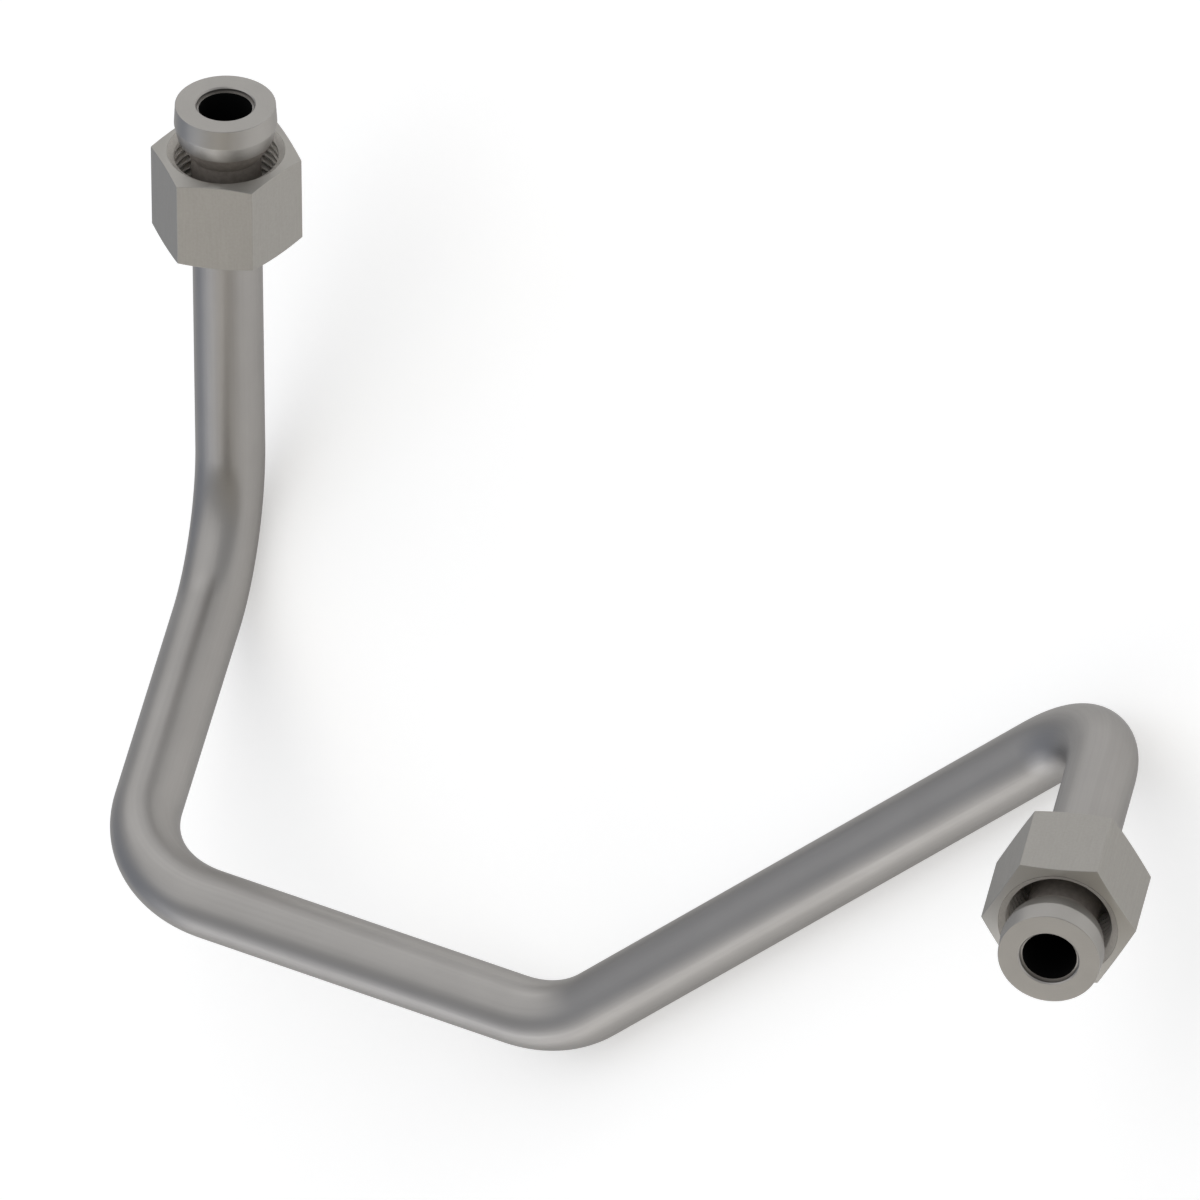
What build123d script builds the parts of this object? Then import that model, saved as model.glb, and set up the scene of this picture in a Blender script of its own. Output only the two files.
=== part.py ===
"""Bent tube assembly: a half-inch steel tube with four bends, a brazed face-seal sleeve on
each end, and a hexagonal union nut that turns on the tube behind each sleeve.

The tube lies on a table as it comes to rest: on its longest leg and on the outside of its
first bend. Z is up, X runs along that leg, and the origin is at the middle of the base.
All sizes are in millimetres.
"""
import os
from math import radians, sqrt, tan

from build123d import *

os.makedirs("parts", exist_ok=True)

# Tube
tube_od = 12.7
tube_wall = 1.47
bend_radius = 25.4  # to the centreline, twice the tube's diameter

# Legs of the centreline, from one sharp corner to the next, and at the ends to the sealing
# faces. The fourth lies on the table along X. The others are given as they lead away from
# it, by a heading from X towards Y and a climb from the table, in degrees.
leg_1_length = 95.45  # from corner 1 to sealing face A
leg_1_heading = 37.35
leg_1_climb = 31.64
leg_2_length = 85.55  # from corner 2 to corner 1
leg_2_heading = 90.91
leg_2_climb = -28.2
leg_3_length = 92.9  # from corner 3 to corner 2
leg_3_heading = 143.25
leg_3_climb = 21.87
leg_4_length = 149.1  # from corner 3 to corner 4
leg_5_length = 77.9  # from corner 4 to sealing face B
leg_5_heading = -76.44
leg_5_climb = 33.72
corner_3_x = -49.4  # this corner's place brings the origin to the middle of the base
corner_3_y = -57.9

# Sleeve: sizes along it count from the sealing face
sleeve_face_d = 18.25
sleeve_rim_d = 18.7  # widest, where the outside stops flaring
sleeve_rim_at = 3.85
sleeve_shoulder_d = 17.4  # where the back cone starts
sleeve_shoulder_at = 6.9
sleeve_length = 10.4
sleeve_tail_wall = 0.2  # left round the tube where the back cone ends
sleeve_hole_d = 10.5
sleeve_hole_edge = 0.25
tube_end_depth = 0.95  # of the lip that the tube stops against

# Union nut for a 13/16-16 UN thread: sizes along it count from its mouth
nut_across_flats = 24.0
nut_length = 18.3
nut_mouth_d = 21.4
nut_mouth_depth = 1.0
nut_cone_angle = 14.0  # of the cones that take off the hexagon's corners
thread_minor_d = 18.95  # the bore is plain at this size
nut_back_wall = 2.4
nut_seat_edge = 1.2  # bevel of the inner shoulder that pulls on the sleeve
nut_tube_clearance = 0.3  # all round, between the nut's back hole and the tube
nut_setback = 10.1  # from the sealing face to the nut's mouth
nut_a_turn = 10.8  # degrees about the tube from level to a corner of the hexagon
nut_b_turn = 51.2


def leg(length, heading, climb):
    """A leg of the centreline as a vector."""
    return Vector(length, 0, 0).rotate(Axis.Y, -climb).rotate(Axis.Z, heading)


# Route: corners 3 and 4 lie on the table, and the rest follow from them along the legs
corner_3 = Vector(corner_3_x, corner_3_y, tube_od / 2)
corner_2 = corner_3 + leg(leg_3_length, leg_3_heading, leg_3_climb)
corner_1 = corner_2 + leg(leg_2_length, leg_2_heading, leg_2_climb)
face_a = corner_1 + leg(leg_1_length, leg_1_heading, leg_1_climb)
corner_4 = corner_3 + Vector(leg_4_length, 0, 0)
face_b = corner_4 + leg(leg_5_length, leg_5_heading, leg_5_climb)

# At each end, the direction from the sealing face back along the tube, and the tube's end
back_a = (corner_1 - face_a).normalized()
back_b = (corner_4 - face_b).normalized()
tube_end_a = face_a + back_a * tube_end_depth
tube_end_b = face_b + back_b * tube_end_depth


def half_section(face, back, setback=0):
    """A plane through the tube's axis: x runs level out from the axis, y back along it."""
    level = Vector(0, 0, 1).cross(back).normalized()
    return Plane(face + back * setback, x_dir=level, z_dir=level.cross(back))


# Bent tube: the tube's ring swept along the bent centreline
with BuildPart() as tube:
    with BuildLine() as centreline:
        FilletPolyline(
            tube_end_a, corner_1, corner_2, corner_3, corner_4, tube_end_b, radius=bend_radius
        )
    with BuildSketch(Plane(tube_end_a, z_dir=back_a)):
        Circle(tube_od / 2)
        Circle(tube_od / 2 - tube_wall, mode=Mode.SUBTRACT)
    sweep(path=centreline.line)
tube.part.label = "tube"
export_step(tube.part, "parts/tube.step")


def sleeve_outline():
    """Half the sleeve's section, from the sealing face back to where its cone meets the tube."""
    hole, socket = sleeve_hole_d / 2, tube_od / 2
    Polyline(
        (hole + sleeve_hole_edge, 0),
        (sleeve_face_d / 2, 0),
        (sleeve_rim_d / 2, sleeve_rim_at),
        (sleeve_shoulder_d / 2, sleeve_shoulder_at),
        (socket + sleeve_tail_wall, sleeve_length),
        (socket, sleeve_length),
        (socket, tube_end_depth),
        (hole, tube_end_depth),
        (hole, sleeve_hole_edge),
        close=True,
    )


# Brazed sleeves
with BuildPart() as sleeve_a:
    with BuildSketch(half_section(face_a, back_a)):
        with BuildLine():
            sleeve_outline()
        make_face()
    revolve(axis=Axis(face_a, back_a))
sleeve_a.part.label = "sleeve_a"
export_step(sleeve_a.part, "parts/sleeve_a.step")

with BuildPart() as sleeve_b:
    with BuildSketch(half_section(face_b, back_b)):
        with BuildLine():
            sleeve_outline()
        make_face()
    revolve(axis=Axis(face_b, back_b))
sleeve_b.part.label = "sleeve_b"
export_step(sleeve_b.part, "parts/sleeve_b.step")


def nut_outline():
    """Half the nut's turned section: coned ends, mouth, bore, inner shoulder and back hole."""
    mouth, corner = nut_mouth_d / 2, nut_across_flats / sqrt(3)
    bore, hole = thread_minor_d / 2, tube_od / 2 + nut_tube_clearance
    cone = (corner - mouth) * tan(radians(nut_cone_angle))
    shoulder = nut_length - nut_back_wall
    Polyline(
        (mouth, 0),
        (corner, cone),
        (corner, nut_length - cone),
        (mouth, nut_length),
        (hole, nut_length),
        (hole, shoulder + nut_seat_edge),
        (hole + nut_seat_edge, shoulder),
        (bore, shoulder),
        (bore, nut_mouth_depth),
        (mouth, nut_mouth_depth),
        close=True,
    )


def hexagon_plane(face, back, turn):
    """The plane of the nut's mouth, with x towards a corner of the hexagon."""
    level = half_section(face, back).x_dir
    corner = level.rotate(Axis((0, 0, 0), back), turn)
    return Plane(face + back * nut_setback, x_dir=corner, z_dir=back)


# Union nuts: a hexagonal bar kept only where the turned section is
with BuildPart() as nut_a:
    with BuildSketch(hexagon_plane(face_a, back_a, nut_a_turn)):
        RegularPolygon(nut_across_flats / 2, 6, major_radius=False)
    extrude(amount=nut_length)
    with BuildSketch(half_section(face_a, back_a, nut_setback)):
        with BuildLine():
            nut_outline()
        make_face()
    revolve(axis=Axis(face_a, back_a), mode=Mode.INTERSECT)
nut_a.part.label = "nut_a"
export_step(nut_a.part, "parts/nut_a.step")

with BuildPart() as nut_b:
    with BuildSketch(hexagon_plane(face_b, back_b, nut_b_turn)):
        RegularPolygon(nut_across_flats / 2, 6, major_radius=False)
    extrude(amount=nut_length)
    with BuildSketch(half_section(face_b, back_b, nut_setback)):
        with BuildLine():
            nut_outline()
        make_face()
    revolve(axis=Axis(face_b, back_b), mode=Mode.INTERSECT)
nut_b.part.label = "nut_b"
export_step(nut_b.part, "parts/nut_b.step")
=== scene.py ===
"""Looks of the bent tube assembly: a drawn steel tube with a turned sleeve and a loose union nut
on each end, on a white studio floor, seen from the photograph's angle.

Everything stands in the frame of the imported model: metres, Z up, the tube lying on the floor.
"""
from math import acos, atan2, cos, pi, radians, sin, sqrt, tan

import bpy
from bpy.props import FloatProperty, FloatVectorProperty, PointerProperty
from mathutils import Matrix, Quaternion, Vector


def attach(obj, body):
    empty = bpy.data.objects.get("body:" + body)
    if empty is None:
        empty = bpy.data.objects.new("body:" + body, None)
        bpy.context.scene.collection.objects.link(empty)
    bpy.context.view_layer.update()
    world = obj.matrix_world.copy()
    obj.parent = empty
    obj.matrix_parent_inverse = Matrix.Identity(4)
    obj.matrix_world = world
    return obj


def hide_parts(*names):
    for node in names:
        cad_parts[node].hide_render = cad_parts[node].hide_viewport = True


bl_info = {
    "name": "Bent Tube Assembly",
    "version": (1, 0, 0),
    "blender": (4, 5, 0),
    "location": "View3D > Sidebar > Bent Tube",
    "description": "Makes a bent steel tube with face-seal sleeves and union nuts, and its studio",
    "category": "Add Mesh",
}

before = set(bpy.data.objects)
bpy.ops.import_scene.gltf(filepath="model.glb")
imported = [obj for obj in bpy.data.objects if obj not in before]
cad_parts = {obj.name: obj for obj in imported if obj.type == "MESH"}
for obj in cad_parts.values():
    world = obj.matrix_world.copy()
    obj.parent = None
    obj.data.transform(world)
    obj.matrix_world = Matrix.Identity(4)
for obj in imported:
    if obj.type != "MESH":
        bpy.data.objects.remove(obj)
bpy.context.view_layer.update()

MM = 0.001


def linear(hex_code):
    """An sRGB hex colour as the linear RGBA that shaders take."""
    channels = [int(hex_code[i:i + 2], 16) / 255 for i in (1, 3, 5)]
    return (*[c / 12.92 if c <= 0.04045 else ((c + 0.055) / 1.055) ** 2.4 for c in channels], 1.0)


# Settings: sizes and colours that a user would change


def length_in_mm(name, description, millimetres):
    """A length setting, given in millimetres and kept in metres."""
    return FloatProperty(name=name, description=description, default=millimetres * MM,
                         precision=5, unit="LENGTH")


def angle_in_degrees(name, description, degrees):
    """An angle setting, given in degrees and kept in radians."""
    return FloatProperty(name=name, description=description, default=radians(degrees),
                         subtype="ANGLE")


def point_in_mm(name, description, millimetres):
    """A point, given in millimetres and kept in metres."""
    return FloatVectorProperty(name=name, description=description, size=3, precision=5,
                               default=[v * MM for v in millimetres], subtype="TRANSLATION",
                               unit="LENGTH")


def colour(name, description, hex_code):
    """A colour setting from its sRGB hex code."""
    return FloatVectorProperty(name=name, description=description, size=4, min=0.0, max=1.0,
                               default=linear(hex_code), subtype="COLOR")


class TubeSizes(bpy.types.PropertyGroup):
    """The tube's section and its route from end A to end B"""
    outside: length_in_mm("Outside diameter", "Outside diameter of the tube", 12.7)
    wall: length_in_mm("Wall", "Thickness of the tube's wall", 1.47)
    bend: length_in_mm("Bend radius", "Radius of each bend, to the centreline", 25.4)
    leg_1: length_in_mm("Leg 1", "From corner 1 to sealing face A", 95.45)
    leg_1_heading: angle_in_degrees("Leg 1 heading", "Turn of leg 1 from X towards Y", 37.35)
    leg_1_climb: angle_in_degrees("Leg 1 climb", "Slope of leg 1 up from the floor", 31.64)
    leg_2: length_in_mm("Leg 2", "From corner 2 to corner 1", 85.55)
    leg_2_heading: angle_in_degrees("Leg 2 heading", "Turn of leg 2 from X towards Y", 90.91)
    leg_2_climb: angle_in_degrees("Leg 2 climb", "Slope of leg 2 up from the floor", -28.2)
    leg_3: length_in_mm("Leg 3", "From corner 3 to corner 2", 92.9)
    leg_3_heading: angle_in_degrees("Leg 3 heading", "Turn of leg 3 from X towards Y", 143.25)
    leg_3_climb: angle_in_degrees("Leg 3 climb", "Slope of leg 3 up from the floor", 21.87)
    leg_4: length_in_mm("Leg 4", "From corner 3 to corner 4, flat on the floor along X", 149.1)
    leg_5: length_in_mm("Leg 5", "From corner 4 to sealing face B", 77.9)
    leg_5_heading: angle_in_degrees("Leg 5 heading", "Turn of leg 5 from X towards Y", -76.44)
    leg_5_climb: angle_in_degrees("Leg 5 climb", "Slope of leg 5 up from the floor", 33.72)
    corner_3: point_in_mm("Corner 3", "Sharp corner of the third bend, on the centreline",
                          (-49.4, -57.9, 6.35))
    end_depth: length_in_mm("End depth", "From the sealing face to the tube's end", 0.95)


class SleeveSizes(bpy.types.PropertyGroup):
    """The section of the sleeves"""
    face: length_in_mm("Face diameter", "Outside diameter of the sealing face", 18.25)
    rim: length_in_mm("Rim diameter", "Widest diameter", 18.7)
    rim_at: length_in_mm("Rim place", "From the face to the widest place", 3.85)
    shoulder: length_in_mm("Shoulder diameter", "Diameter where the back cone starts", 17.4)
    shoulder_at: length_in_mm("Shoulder place", "From the face to the back cone", 6.9)
    length: length_in_mm("Length", "From the face to the end of the back cone", 10.4)
    tail_wall: length_in_mm("Tail wall", "Wall left round the tube at the back", 0.2)
    hole: length_in_mm("Hole", "Diameter of the hole through the lip", 10.5)
    hole_edge: length_in_mm("Hole edge", "Bevel at the hole's edge", 0.25)


class NutSizes(bpy.types.PropertyGroup):
    """The union nuts' shape, thread and places"""
    flats: length_in_mm("Across flats", "Width of the hexagon across its flats", 24.0)
    length: length_in_mm("Length", "Length of the nut", 18.3)
    mouth: length_in_mm("Mouth", "Diameter of the mouth", 21.4)
    mouth_depth: length_in_mm("Mouth depth", "Depth of the countersink before the thread", 1.0)
    minor: length_in_mm("Minor diameter", "Diameter inside the thread's crests", 18.95)
    major: length_in_mm("Major diameter", "Diameter at the thread's roots", 20.75)
    pitch: length_in_mm("Pitch", "From crest to crest of the thread", 25.4 / 16)
    back_wall: length_in_mm("Back wall", "Thickness of the wall behind the thread", 2.4)
    seat_edge: length_in_mm("Seat bevel", "Bevel of the inner shoulder", 1.2)
    clearance: length_in_mm("Clearance", "Room between the back hole and the tube, all round", 0.3)
    setback: length_in_mm("Setback", "From the sealing face to the nut's mouth", 10.1)
    cone: angle_in_degrees("End cones", "Slope of the cones on both ends", 14)
    turn_a: angle_in_degrees("Turn A", "Turn of nut A about the tube", 10.8)
    turn_b: angle_in_degrees("Turn B", "Turn of nut B about the tube", 51.2)


class Finishes(bpy.types.PropertyGroup):
    """Colours of the steels and of the floor"""
    drawn: colour("Drawn steel", "Colour of the tube's outside", "#A09D9A")
    turned: colour("Turned steel", "Colour of the sleeves", "#A29F9B")
    # Steel inside the nuts is painted light: dulled and clouded so that the shade there reads
    # lighter.
    dulled_in_nut: colour("Browned steel", "Colour of the steel beside the brazed joints", "#908983")
    bar: colour("Bar steel", "Colour of the nuts' flats", "#A3A09B")
    nut_ends: colour("Turned nut ends", "Colour of the nuts' end cones and back holes", "#A3A09B")
    # The threads' and countersinks' colour is painted light: paler than steel, so the nut's inside
    # looks lit.
    tapped_painted_light: colour("Tapped steel", "Colour of the nuts' threads and countersinks", "#DEDAD3")
    # The crests' colour is a painted highlight: pale lines along the thread.
    crest_highlight: colour("Rubbed steel", "Colour of the thread's bright crests", "#EFEDE8")
    # The bore's colour is painted shade: near black, for the dark inside of the tube.
    scale: colour("Mill scale", "Colour of the tube's inside", "#020202")
    floor: colour("Floor", "Colour of the studio floor", "#E6E5E3")


class StudioSettings(bpy.types.PropertyGroup):
    """The camera's lens and place, and the light of the surroundings"""
    lens: FloatProperty(name="Lens", description="Focal length, long so that the view is flat",
                        default=1400.0, unit="CAMERA")
    distance: length_in_mm("Distance", "From the camera to the object's middle", 8345.1)
    target: point_in_mm("Target", "Point in the middle of the picture",
                        (-1.24, 1.37, 29.2))
    ambient: FloatProperty(name="Ambient", description="Brightness of the plain surroundings",
                           default=0.54, min=0.0)
    plain: colour("Plain side", "Tint of the surroundings towards +X and +Y", "#FAFCFF")
    cool_side: colour("Cool side", "Tint of the surroundings towards -X", "#DFEAFF")
    warm_side: colour("Warm side", "Tint of the surroundings towards -Y", "#FFF8EA")


# Meshes

SHARP = radians(35)  # edges that turn by more than this stay sharp
ROUNDING_STEPS = 3  # faces across a rounded corner of an outline


def new_object(name, data):
    """A new object with that data, in the scene."""
    made = bpy.data.objects.new(name, data)
    bpy.context.scene.collection.objects.link(made)
    return made


def mesh_object(name, points, faces, materials, slots, stock):
    """A smooth mesh piece. slots is a material slot for each face, and stock the place of each
    point on the bar or tube that the piece was made from, kept as an attribute in millimetres."""
    mesh = bpy.data.meshes.new(name)
    mesh.from_pydata(points, [], faces)
    for material in materials:
        mesh.materials.append(material)
    mesh.polygons.foreach_set("material_index", slots)
    layer = mesh.attributes.new("stock", "FLOAT_VECTOR", "POINT")
    layer.data.foreach_set("vector", [v / MM for point in stock for v in point])
    mesh.shade_smooth()
    mesh.set_sharp_from_angle(angle=SHARP)
    mesh.update()
    return new_object(name, mesh)


def keep_flats_flat(piece):
    """Weights the shading by face area, so small edge rounds don't bend the light on flats."""
    weighted = piece.modifiers.new("flat faces", "WEIGHTED_NORMAL")
    weighted.mode = "FACE_AREA"
    weighted.weight = 100  # the most, so that the largest face at a point decides
    weighted.keep_sharp = True


def grid_faces(columns, rows):
    """Quads of a closed ring of columns, each a closed loop with the same number of points."""
    faces = []
    for c in range(columns):
        here, there = c * rows, (c + 1) % columns * rows
        for r in range(rows):
            after = (r + 1) % rows
            faces.append((here + r, there + r, there + after, here + after))
    return faces


def rounded(outline):
    """A closed outline with rounded corners. Each corner is (distance out, place along, radius
    of the rounding, material slot of the face that follows)."""
    made = []
    for i, (r, z, curve, slot) in enumerate(outline):
        if not curve:
            made.append((r, z, slot))
            continue
        here = Vector((r, z))
        to_last = (Vector(outline[i - 1][:2]) - here).normalized()
        to_next = (Vector(outline[(i + 1) % len(outline)][:2]) - here).normalized()
        half = acos(max(-1.0, min(1.0, to_last.dot(to_next)))) / 2
        centre = here + (to_last + to_next).normalized() * (curve / sin(half))
        first = here + to_last * (curve / tan(half)) - centre
        last = here + to_next * (curve / tan(half)) - centre
        start = atan2(first.y, first.x)
        sweep = (atan2(last.y, last.x) - start + pi) % (2 * pi) - pi
        for k in range(ROUNDING_STEPS + 1):
            at = start + sweep * k / ROUNDING_STEPS
            made.append((centre.x + curve * cos(at), centre.y + curve * sin(at), slot))
    return made


def turned_object(name, columns, matrix, materials):
    """A piece made of columns round its Z axis. Each is (angle, outline), and an outline is a
    closed list of (distance out, place along, slot of the face that follows)."""
    stock = [Vector((r * cos(at), r * sin(at), z))
             for at, outline in columns for r, z, _ in outline]
    slots = [slot for _, outline in columns for _, _, slot in outline]
    faces = grid_faces(len(columns), len(columns[0][1]))
    return mesh_object(name, [matrix @ p for p in stock], faces, materials, slots, stock)


def seat(face, back):
    """The matrix of a fitting: origin on the sealing face, Z back along the tube, X level."""
    level = Vector((0, 0, 1)).cross(back).normalized()
    turned = Matrix((level, back.cross(level), back)).transposed().to_4x4()
    return Matrix.Translation(face) @ turned


def leg(distance, heading, climb):
    """A leg of the centreline as a vector."""
    return Vector((cos(climb) * cos(heading), cos(climb) * sin(heading), sin(climb))) * distance


def route(tube):
    """The centreline's points: sealing face A, the four sharp corners and sealing face B."""
    corner_3 = Vector(tube.corner_3)
    corner_2 = corner_3 + leg(tube.leg_3, tube.leg_3_heading, tube.leg_3_climb)
    corner_1 = corner_2 + leg(tube.leg_2, tube.leg_2_heading, tube.leg_2_climb)
    face_a = corner_1 + leg(tube.leg_1, tube.leg_1_heading, tube.leg_1_climb)
    corner_4 = corner_3 + Vector((tube.leg_4, 0, 0))
    face_b = corner_4 + leg(tube.leg_5, tube.leg_5_heading, tube.leg_5_climb)
    return [face_a, corner_1, corner_2, corner_3, corner_4, face_b]


def fittings(tube):
    """The matrix of the fittings at each end, by the end's letter."""
    points = route(tube)
    return {
        "a": seat(points[0], (points[1] - points[0]).normalized()),
        "b": seat(points[-1], (points[-2] - points[-1]).normalized()),
    }


# Shader nodes

# Sockets of a Mix node that mixes colours: three inputs and the output
MIX_SHARE, MIX_FIRST, MIX_SECOND, MIX_COLOUR = 0, 6, 7, 2
NOISE_SPAN = {"From Min": 0.3, "From Max": 0.7}  # nearly all of a noise's values lie in here
STEEL_EDGE = (0.62, 0.62, 0.62, 1)  # keeps steel seen at a slant about as bright as seen head-on


def add(tree, kind, inputs=None, **settings):
    """Adds a node with its settings. inputs gives each socket a value or another node's output."""
    made = tree.nodes.new(kind)
    for name, value in settings.items():
        setattr(made, name, value)
    for name, value in (inputs or {}).items():
        if isinstance(value, bpy.types.NodeSocket):
            tree.links.new(value, made.inputs[name])
        else:
            made.inputs[name].default_value = value
    return made


def new_tree(name):
    """A new material with an empty node tree."""
    material = bpy.data.materials.new(name)
    material.use_nodes = True
    material.node_tree.nodes.clear()
    return material, material.node_tree


def on_stock(tree):
    """Places on the bar or tube that the piece was made from, in millimetres, Z along it."""
    return add(tree, "ShaderNodeAttribute", attribute_name="stock").outputs["Vector"]


def about_axis(tree, where):
    """The same places as (distance from the axis, 0, place along it), which draws rings."""
    parts = add(tree, "ShaderNodeSeparateXYZ", {"Vector": where})
    flat = add(tree, "ShaderNodeCombineXYZ", {"X": parts.outputs["X"], "Y": parts.outputs["Y"]})
    out = add(tree, "ShaderNodeVectorMath", {0: flat.outputs["Vector"]}, operation="LENGTH")
    return add(tree, "ShaderNodeCombineXYZ", {
        "X": out.outputs["Value"], "Z": parts.outputs["Z"],
    }).outputs["Vector"]


def grains(tree, where, size, detail=2.0):
    """A pattern from 0 to 1 whose grains are size millimetres long along each axis of where."""
    scaled = add(tree, "ShaderNodeVectorMath", {0: where, 1: [1 / s for s in size]},
                 operation="MULTIPLY")
    return add(tree, "ShaderNodeTexNoise", {
        "Vector": scaled.outputs["Vector"], "Scale": 1.0, "Detail": detail,
    }).outputs["Fac"]


def tinted(tree, tone, pattern, spread):
    """A colour that the pattern makes darker and lighter by the share spread."""
    share = add(tree, "ShaderNodeMapRange", {"Value": pattern, **NOISE_SPAN})
    darker, lighter = ((*[c * by for c in tone[:3]], 1) for by in (1 - spread, 1 + spread))
    return add(tree, "ShaderNodeMix", {
        MIX_SHARE: share.outputs["Result"], MIX_FIRST: darker, MIX_SECOND: lighter,
    }, data_type="RGBA").outputs[MIX_COLOUR]


def surface(tree, base, relief, depth, roughness, sockets):
    """Ends a material's tree. relief is a pattern that stands depth metres high and takes the
    roughness from low to high, and sockets are the shader's other values."""
    low, high = roughness
    rough = add(tree, "ShaderNodeMapRange", {
        "Value": relief, **NOISE_SPAN, "To Min": low, "To Max": high})
    bump = add(tree, "ShaderNodeBump", {"Height": relief, "Distance": depth, "Strength": 1.0})
    shader = add(tree, "ShaderNodeBsdfPrincipled", {
        "Base Color": base, "Roughness": rough.outputs["Result"],
        "Normal": bump.outputs["Normal"], **sockets,
    })
    add(tree, "ShaderNodeOutputMaterial", {"Surface": shader.outputs["BSDF"]})


def steel(tree, base, relief, depth, roughness, bare=1.0):
    """Ends a steel's tree. bare is the share of bare metal, where the rest is dulled."""
    surface(tree, base, relief, depth, roughness, {"Metallic": bare, "Specular Tint": STEEL_EDGE})


# Materials. Grains are in millimetres along X, Y and Z of the stock. For rings they are along
# the distance from the axis, an unused axis, and the place along it.

DRAW_LINE = (0.4, 0.4, 40.0)  # real draw lines are near 0.05 wide, drawn wide enough to show
HANDLING = (7.0, 7.0, 12.0)  # faint clouds that cleaning and handling leave
TURNING = (0.22, 1.0, 0.22)  # real feed rings are near 0.1 apart, drawn coarser to show
BAR_LINE = (0.3, 0.3, 6.0)  # short scuffs along the bar
SPECKLE = (0.5, 0.5, 0.5)  # real pits from the acid or the tap are finer, drawn coarser to show
DULL_CLOUD = (0.8, 0.8, 0.8)  # clouds in the dulled steel inside the nuts, which mottle its lifted shade
BORE_GRAIN = (1.2, 1.2, 4.0)  # faint flakes in the bore's painted shade, drawn out along the tube
PAPER_FIBRE = (3.0, 3.0, 3.0)  # clumps of fibre
PAPER_LIFT = 0.43  # of white, which the paper adds to what the lamps give it


def cold_drawn_steel(tone):
    """Cold-drawn steel tube, cleaned to a satin. The die leaves faint lines along the tube, and
    they spread each highlight round it into broad soft bands."""
    material, tree = new_tree("cold_drawn_steel")
    stock = on_stock(tree)
    lines = grains(tree, stock, DRAW_LINE)
    base = tinted(tree, tone, grains(tree, stock, HANDLING, detail=4.0), spread=0.03)
    steel(tree, base, lines, depth=0.0015 * MM, roughness=(0.36, 0.44))
    return material


def bore_painted_shade(tone):
    """The inside of drawn tube, coloured near black as painted shade for the dark inside of the
    bore, with faint flakes, so that it looks black and hardly glossy."""
    material, tree = new_tree("bore_painted_black")
    flakes = grains(tree, on_stock(tree), BORE_GRAIN, detail=4.0)
    base = tinted(tree, tone, flakes, spread=0.3)
    surface(tree, base, flakes, depth=0.02 * MM, roughness=(0.85, 0.95),
            sockets={"Specular IOR Level": 0.15})
    return material


def turned_steel(tone):
    """Lathe-turned steel. The tool leaves fine rings, which draw highlights out across them."""
    material, tree = new_tree("turned_steel")
    stock = on_stock(tree)
    rings = grains(tree, about_axis(tree, stock), TURNING)
    base = tinted(tree, tone, grains(tree, stock, HANDLING, detail=4.0), spread=0.03)
    steel(tree, base, rings, depth=0.0015 * MM, roughness=(0.36, 0.44))
    return material


def nut_shade_lifting_steel(tone):
    """Steel beside the brazed joint, inside the nut, dulled in small clouds as painted light: it
    takes up the dim light inside the nut and mirrors little of the nut's walls, which lifts the
    shade there."""
    material, tree = new_tree("steel_dulled_to_lift_shade")
    clouds = grains(tree, on_stock(tree), DULL_CLOUD, detail=4.0)
    base = tinted(tree, tone, clouds, spread=0.15)
    steel(tree, base, clouds, depth=0.002 * MM, roughness=(0.5, 0.6), bare=0.4)
    return material


def drawn_bar_steel(tone):
    """Cold-drawn hexagonal bar, dulled by pickling. Its flats keep short faint scuffs along the
    bar and a fine speckle, so that they look soft and even."""
    material, tree = new_tree("drawn_hexagon_bar_steel")
    stock = on_stock(tree)
    lines = grains(tree, stock, BAR_LINE)
    base = tinted(tree, tone, grains(tree, stock, SPECKLE, detail=3.0), spread=0.03)
    steel(tree, base, lines, depth=0.001 * MM, roughness=(0.42, 0.5))
    return material


def tapped_steel_painted_light(tone):
    """Steel cut by a countersink and a tap, coloured paler than bare steel as painted light, so
    that the inside of the nut looks lit. The tools' torn marks and the oil that these hold dull it,
    so the thread's flanks make an even ground, darker than its crests."""
    material, tree = new_tree("tapped_steel_painted_light")
    stock = on_stock(tree)
    rings = grains(tree, about_axis(tree, stock), TURNING)
    base = tinted(tree, tone, grains(tree, stock, SPECKLE, detail=3.0), spread=0.06)
    steel(tree, base, rings, depth=0.0015 * MM, roughness=(0.5, 0.6), bare=0.4)
    return material


def crest_highlight_steel(tone):
    """The middles of the thread's crests, coloured pale as a painted highlight along each crest.
    Being mostly matt, they scatter what light comes in at the mouth, and show as thin light lines."""
    material, tree = new_tree("crest_highlight_steel")
    marks = grains(tree, on_stock(tree), TURNING)
    base = tinted(tree, tone, marks, spread=0.05)
    steel(tree, base, marks, depth=0.001 * MM, roughness=(0.4, 0.5), bare=0.2)
    return material


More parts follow.
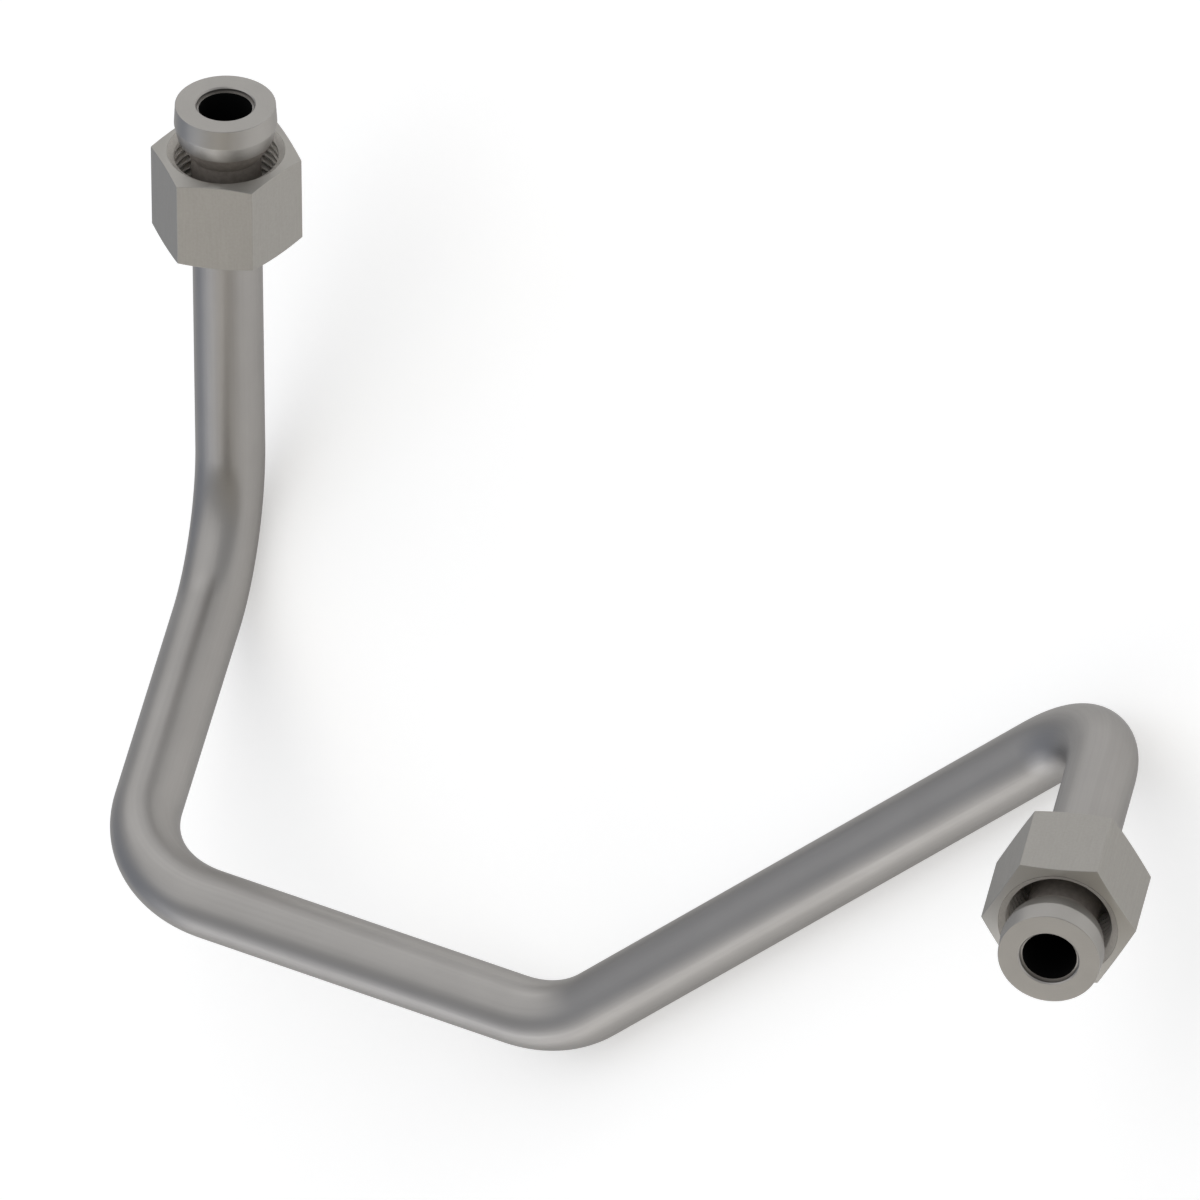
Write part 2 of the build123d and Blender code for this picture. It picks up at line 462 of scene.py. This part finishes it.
def paper_floor(tone):
    """Coated white studio paper. Its coating mirrors low lamps softly, which lights the sides of
    the steel that look down. Where nothing shades it, cameras and mirrors see it as white."""
    material, tree = new_tree("coated_studio_paper")
    fibres = grains(tree, on_stock(tree), PAPER_FIBRE, detail=3.0)
    paper = add(tree, "ShaderNodeBsdfPrincipled", {
        "Base Color": tinted(tree, tone, fibres, spread=0.004), "Roughness": 0.28, "IOR": 1.5,
    })
    rays = add(tree, "ShaderNodeLightPath").outputs
    seen = rays["Is Camera Ray"]
    for kind in ("Is Glossy Ray", "Is Transmission Ray"):
        seen = add(tree, "ShaderNodeMath", {0: seen, 1: rays[kind]},
                   operation="MAXIMUM").outputs["Value"]
    lift = add(tree, "ShaderNodeMath", {0: seen, 1: PAPER_LIFT}, operation="MULTIPLY")
    glow = add(tree, "ShaderNodeEmission", {"Strength": lift.outputs["Value"]})
    both = add(tree, "ShaderNodeAddShader", {
        0: paper.outputs["BSDF"], 1: glow.outputs["Emission"]})
    add(tree, "ShaderNodeOutputMaterial", {"Surface": both.outputs["Shader"]})
    return material


# The tube

EDGE = 0.15 * MM  # rounding of edges that are broken after machining
FINE_EDGE = 0.04 * MM  # rounding of edges that are left nearly sharp
ROUND_STEPS = 120  # points round the tube and the sleeves
BEND_STEP = radians(2.5)  # from one station in a bend to the next
DULL_REACH = 23.0 * MM  # dulled part of the tube from each end, which ends inside the nut
DRAWN, SHADED_BORE, DULLED_IN_NUT = range(3)  # material slots of the tube


def stations(tube):
    """Stations along the bent centreline: (centre, direction, side, distance from end A), where
    side is square to the direction and doesn't twist about it."""
    points = route(tube)
    first = (points[1] - points[0]).normalized()
    last = (points[-1] - points[-2]).normalized()
    points[0] = points[0] + first * tube.end_depth
    points[-1] = points[-1] - last * tube.end_depth
    side = Vector((0, 0, 1)).cross(first).normalized()
    here, travelled = points[0], 0.0
    made = [(here, first, side, 0.0), (here + first * DULL_REACH, first, side, DULL_REACH)]
    for behind, corner, ahead in zip(points, points[1:-1], points[2:]):
        before, beyond = (corner - behind).normalized(), (ahead - corner).normalized()
        turn = before.angle(beyond)
        axis = before.cross(beyond).normalized()
        start = corner - before * (tube.bend * tan(turn / 2))
        travelled += (start - here).length
        centre = start + axis.cross(before) * tube.bend
        steps = max(1, round(turn / BEND_STEP))
        for k in range(steps + 1):
            bent = Quaternion(axis, turn * k / steps)
            here = centre + bent @ (start - centre)
            made.append((here, bent @ before, bent @ side,
                         travelled + tube.bend * turn * k / steps))
        side = Quaternion(axis, turn) @ side
        travelled += tube.bend * turn
    length = travelled + (points[-1] - here).length
    made.append((points[-1] - last * DULL_REACH, last, side, length - DULL_REACH))
    made.append((points[-1], last, side, length))
    return made


class OBJECT_OT_bent_tube(bpy.types.Operator):
    """Make the bent tube from one length of drawn steel tube"""
    bl_idname = "object.bent_tube"
    bl_label = "Bent Tube"

    def execute(self, context):
        tube, finishes = context.scene.tube_sizes, context.scene.finishes
        outer, inner = tube.outside / 2, tube.outside / 2 - tube.wall
        path = stations(tube)
        points, stock = [], []
        for ring in range(ROUND_STEPS):
            at = 2 * pi * ring / ROUND_STEPS
            for radius, run in ((outer, path), (inner, reversed(path))):
                for centre, forward, side, along in run:
                    spoke = side * cos(at) + forward.cross(side) * sin(at)
                    points.append(centre + spoke * radius)
                    stock.append((radius * cos(at), radius * sin(at), along))
        faces = grid_faces(ROUND_STEPS, 2 * len(path))
        # Each column runs along the outside, over end B, back along the inside and over end A
        # The ends inside the nuts are dulled, which lifts the shade there as painted light.
        outside = [DULLED_IN_NUT, *[DRAWN] * (len(path) - 3), DULLED_IN_NUT]
        # The bore takes the near-black painted shade.
        inside = [SHADED_BORE] * (len(path) - 1)
        slots = [*outside, DRAWN, *inside, DRAWN] * ROUND_STEPS
        materials = [cold_drawn_steel(finishes.drawn), bore_painted_shade(finishes.scale),
                     nut_shade_lifting_steel(finishes.dulled_in_nut)]
        piece = mesh_object("bent_tube", points, faces, materials, slots, stock)
        keep_flats_flat(piece)
        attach(piece, "tube_assembly")
        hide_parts("tube")
        return {"FINISHED"}


# The sleeves

RIM_ROUND = 1.5 * MM  # where the outside turns at its widest place
CLEAN, SHADE_LIFTED = range(2)  # material slots of a sleeve: turned steel, and the back cone dulled to lift the shade inside the nut


def sleeve_outline(sleeve, tube):
    """The sleeve's section, from the sealing face round the outside and back through the hole."""
    hole, socket = sleeve.hole / 2, tube.outside / 2
    return rounded([
        (hole + sleeve.hole_edge, 0, FINE_EDGE, CLEAN),
        (sleeve.face / 2, 0, EDGE, CLEAN),
        (sleeve.rim / 2, sleeve.rim_at, RIM_ROUND, CLEAN),
        (sleeve.shoulder / 2, sleeve.shoulder_at, EDGE, SHADE_LIFTED),
        (socket + sleeve.tail_wall, sleeve.length, FINE_EDGE, SHADE_LIFTED),
        (socket, sleeve.length, 0, CLEAN),
        (socket, tube.end_depth, 0, CLEAN),
        (hole, tube.end_depth, 0, CLEAN),
        (hole, sleeve.hole_edge, FINE_EDGE, CLEAN),
    ])


class OBJECT_OT_sleeves(bpy.types.Operator):
    """Make the turned sleeve on each end of the tube"""
    bl_idname = "object.tube_sleeves"
    bl_label = "Sleeves"

    def execute(self, context):
        scene = context.scene
        finishes = scene.finishes
        outline = sleeve_outline(scene.sleeve_sizes, scene.tube_sizes)
        columns = [(2 * pi * ring / ROUND_STEPS, outline) for ring in range(ROUND_STEPS)]
        materials = [turned_steel(finishes.turned), nut_shade_lifting_steel(finishes.dulled_in_nut)]
        for letter, matrix in fittings(scene.tube_sizes).items():
            piece = turned_object(f"turned_sleeve_{letter}", columns, matrix, materials)
            keep_flats_flat(piece)
            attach(piece, "tube_assembly")
            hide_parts(f"sleeve_{letter}")
        return {"FINISHED"}


# The union nuts

BAR_CORNER = 0.25 * MM  # rounding of the hexagonal bar's corners
CORNER_POINTS = 5  # columns on each of its rounded corners
FLAT_STEPS = 30  # steps between columns along each of its flats
CORNER_TO_CORNER = radians(60)
CORNER_TO_FLAT = radians(30)  # from a hexagon's corner to the middle of a flat
THREAD_STEPS = 16  # rows to each turn of the thread
HALF_CREST, FLANK = 0.125, 0.3125  # widths on a 60 degree inside thread, as shares of the pitch
RUN_IN, RUN_OUT = 0.6, 1.5  # turns over which the thread deepens at its start and its end
CREST_HIGHLIGHT_WIDTH = 0.1  # half the width of the painted highlight along each crest's middle, as a share of the pitch
BAR, TURNED, TAPPED_PAINTED_LIGHT, CREST_HIGHLIGHT = range(4)  # material slots of a nut


def hexagon_columns(flats, corner_round):
    """(angle, distance out) of points round a hexagon with rounded corners, from a corner on."""
    half = flats / 2
    centre = (half - corner_round) / cos(CORNER_TO_FLAT)
    tangent = atan2(corner_round * sin(CORNER_TO_FLAT),
                    centre + corner_round * cos(CORNER_TO_FLAT))
    columns = []
    for corner in range(6):
        middle = CORNER_TO_CORNER * corner
        for k in range(CORNER_POINTS):
            off = tangent * (2 * k / (CORNER_POINTS - 1) - 1)
            out = centre * cos(off) + sqrt(corner_round ** 2 - (centre * sin(off)) ** 2)
            columns.append((middle + off, out))
        for k in range(1, FLAT_STEPS):
            off = tangent + (CORNER_TO_CORNER - 2 * tangent) * k / FLAT_STEPS
            columns.append((middle + off, half / cos(CORNER_TO_FLAT - off)))
    return columns


def off_crest(nut, z, at):
    """How far a place on the thread is from the nearest crest's middle, as a share of the pitch."""
    return abs((z / nut.pitch - at / (2 * pi) + 0.5) % 1 - 0.5)


def nut_outline(nut, tube, out, at):
    """The nut's section at one angle, where its hexagon stands that far out: the countersink, the
    outside from the mouth to the back, the hole, the inner shoulder and the thread, where the
    middle of each crest takes a painted highlight."""
    mouth, hole = nut.mouth / 2, tube.outside / 2 + nut.clearance
    minor, major = nut.minor / 2, nut.major / 2
    cone = (out - mouth) * tan(nut.cone)
    shoulder = nut.length - nut.back_wall
    # The countersink and the thread take the tapped colour, made paler as painted light inside the
    # nut.
    outline = rounded([
        (minor, nut.mouth_depth, 0, TAPPED_PAINTED_LIGHT),
        (mouth, 0, EDGE, TURNED),
        (out, cone, EDGE, BAR),
        (out, nut.length - cone, EDGE, TURNED),
        (mouth, nut.length, EDGE, TURNED),
        (hole, nut.length, EDGE, TURNED),
        (hole, shoulder + nut.seat_edge, EDGE, TURNED),
        (hole + nut.seat_edge, shoulder, EDGE, TURNED),
        (minor, shoulder, 0, TAPPED_PAINTED_LIGHT),
    ])
    rows = round((shoulder - nut.mouth_depth) / nut.pitch * THREAD_STEPS)
    step = (nut.mouth_depth - shoulder) / rows
    for row in range(1, rows):
        z = shoulder + step * row
        cut = min(1.0, max(0.0, (off_crest(nut, z, at) - HALF_CREST) / FLANK))
        share = min(1.0, (z - nut.mouth_depth) / (RUN_IN * nut.pitch),
                    (shoulder - z) / (RUN_OUT * nut.pitch))
        # The middle of each crest takes the painted highlight.
        bright = off_crest(nut, z + step / 2, at) < CREST_HIGHLIGHT_WIDTH
        outline.append((minor + (major - minor) * cut * share, z, CREST_HIGHLIGHT if bright else TAPPED_PAINTED_LIGHT))
    return outline


class OBJECT_OT_union_nuts(bpy.types.Operator):
    """Make the threaded union nut that turns behind each sleeve"""
    bl_idname = "object.union_nuts"
    bl_label = "Union Nuts"

    def execute(self, context):
        scene = context.scene
        nut, tube, finishes = scene.nut_sizes, scene.tube_sizes, scene.finishes
        materials = [drawn_bar_steel(finishes.bar), turned_steel(finishes.nut_ends),
                     tapped_steel_painted_light(finishes.tapped_painted_light), crest_highlight_steel(finishes.crest_highlight)]
        columns = [(at, nut_outline(nut, tube, out, at))
                   for at, out in hexagon_columns(nut.flats, BAR_CORNER)]
        turns = {"a": nut.turn_a, "b": nut.turn_b}
        for letter, matrix in fittings(tube).items():
            placed = (matrix @ Matrix.Translation((0, 0, nut.setback))
                      @ Matrix.Rotation(turns[letter], 4, "Z"))
            piece = turned_object(f"union_nut_{letter}", columns, placed, materials)
            keep_flats_flat(piece)
            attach(piece, f"nut_{letter}")
            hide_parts(f"nut_{letter}")
        return {"FINISHED"}


# The studio

FLOOR_REACH = 30.0  # metres from the object, so that no view shows the floor's edge
FLOOR_DROP = 0.02 * MM  # keeps the floor clear of the part's lowest point
VIEW_REACH = 100.0  # metres from the camera, beyond the floor's edge

# The camera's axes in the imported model's frame. It is rolled, as the photograph's is.
CAMERA_RIGHT = (0.6638, -0.13749, -0.73515)
CAMERA_UP = (0.38123, 0.90787, 0.17444)
CAMERA_BACK = (0.64344, -0.39606, 0.65507)

# Soft lamps: name, direction from the object, distance, width and height in metres, radiance
LAMPS = (
    ("low_side_softbox", (-0.682, -0.731, 0.128), 3.0, 3.0, 0.8, 1.42),
    ("side_fill_softbox", (-0.84, -0.44, 0.36), 3.2, 2.4, 1.2, 0.55),
    ("rear_softbox", (0.03, 0.93, 0.34), 3.2, 3.0, 2.2, 0.5),
    ("overhead_softbox", (0.08, 0.36, 0.93), 3.2, 4.8, 4.8, 0.52),
)
TINT_REACH = -0.4  # the X and Y of the directions beyond which the surroundings are plain


def soft_lamp(name, direction, distance, width, height, radiance, target):
    """A soft lamp that looks as bright as a surface of that radiance."""
    lamp = bpy.data.lights.new(name, "AREA")
    lamp.shape = "RECTANGLE"
    lamp.size = width
    lamp.size_y = height
    lamp.energy = pi * width * height * radiance  # watts that a matt surface would give off
    made = new_object(name, lamp)
    towards = Vector(direction).normalized()
    made.location = Vector(target) + towards * distance
    made.rotation_mode = "QUATERNION"
    made.rotation_quaternion = towards.to_track_quat("Z", "Y")


def surroundings(studio):
    """Plain even surroundings, a little cool towards -X and a little warm towards -Y."""
    world = bpy.data.worlds.new("studio")
    bpy.context.scene.world = world
    world.use_nodes = True
    tree = world.node_tree
    tree.nodes.clear()
    parts = add(tree, "ShaderNodeSeparateXYZ", {
        "Vector": add(tree, "ShaderNodeTexCoord").outputs["Generated"]})
    tint = studio.plain
    for axis, side in (("Y", studio.warm_side), ("X", studio.cool_side)):
        across = add(tree, "ShaderNodeMapRange", {
            "Value": parts.outputs[axis], "From Min": -1.0, "From Max": TINT_REACH})
        tint = add(tree, "ShaderNodeMix", {
            MIX_SHARE: across.outputs["Result"], MIX_FIRST: side, MIX_SECOND: tint,
        }, data_type="RGBA").outputs[MIX_COLOUR]
    light = add(tree, "ShaderNodeBackground", {"Color": tint, "Strength": studio.ambient})
    add(tree, "ShaderNodeOutputWorld", {"Surface": light.outputs["Background"]})


def long_lens_camera(studio):
    """The camera, which looks at the target from the photograph's angle."""
    lens = bpy.data.cameras.new("long_lens")
    lens.lens = studio.lens
    lens.clip_end = VIEW_REACH
    camera = new_object("long_lens", lens)
    axes = Matrix((CAMERA_RIGHT, CAMERA_UP, CAMERA_BACK)).transposed().to_4x4()
    back = Vector(CAMERA_BACK) * studio.distance
    camera.matrix_world = Matrix.Translation(Vector(studio.target) + back) @ axes
    return camera


class OBJECT_OT_studio(bpy.types.Operator):
    """Make the floor, the soft lamps and the camera"""
    bl_idname = "object.tube_studio"
    bl_label = "Studio"

    def execute(self, context):
        scene = context.scene
        studio = scene.studio_settings
        corners = [(x * FLOOR_REACH, y * FLOOR_REACH, -FLOOR_DROP)
                   for x, y in ((-1, -1), (1, -1), (1, 1), (-1, 1))]
        floor = mesh_object("studio_floor", corners, [(0, 1, 2, 3)],
                            [paper_floor(scene.finishes.floor)], [0], corners)
        for lamp in LAMPS:
            soft_lamp(*lamp, studio.target)
        surroundings(studio)
        scene.camera = long_lens_camera(studio)
        scene.view_settings.view_transform = "Standard"
        return {"FINISHED"}


# The add-on

OPERATORS = (OBJECT_OT_bent_tube, OBJECT_OT_sleeves, OBJECT_OT_union_nuts, OBJECT_OT_studio)
SETTINGS = {
    "tube_sizes": TubeSizes,
    "sleeve_sizes": SleeveSizes,
    "nut_sizes": NutSizes,
    "finishes": Finishes,
    "studio_settings": StudioSettings,
}


class VIEW3D_PT_bent_tube(bpy.types.Panel):
    """A button for each operator, and the settings below them"""
    bl_label = "Bent Tube Assembly"
    bl_space_type = "VIEW_3D"
    bl_region_type = "UI"
    bl_category = "Bent Tube"

    def draw(self, context):
        for operator in OPERATORS:
            self.layout.operator(operator.bl_idname)
        for group in SETTINGS:
            box = self.layout.box()
            settings = getattr(context.scene, group)
            for name in settings.bl_rna.properties.keys():
                if name not in ("rna_type", "name"):
                    box.prop(settings, name)


CLASSES = (*SETTINGS.values(), *OPERATORS, VIEW3D_PT_bent_tube)


def register():
    """Adds the classes to Blender and the settings to its scenes."""
    for made in CLASSES:
        bpy.utils.register_class(made)
    for name, group in SETTINGS.items():
        setattr(bpy.types.Scene, name, PointerProperty(type=group))


def unregister():
    """Takes both away again."""
    for name in SETTINGS:
        delattr(bpy.types.Scene, name)
    for made in reversed(CLASSES):
        bpy.utils.unregister_class(made)


def main():
    """Makes the pieces and the studio."""
    register()
    bpy.ops.object.bent_tube()
    bpy.ops.object.tube_sleeves()
    bpy.ops.object.union_nuts()
    bpy.ops.object.tube_studio()
    bpy.context.view_layer.update()


if __name__ == "__main__":
    main()
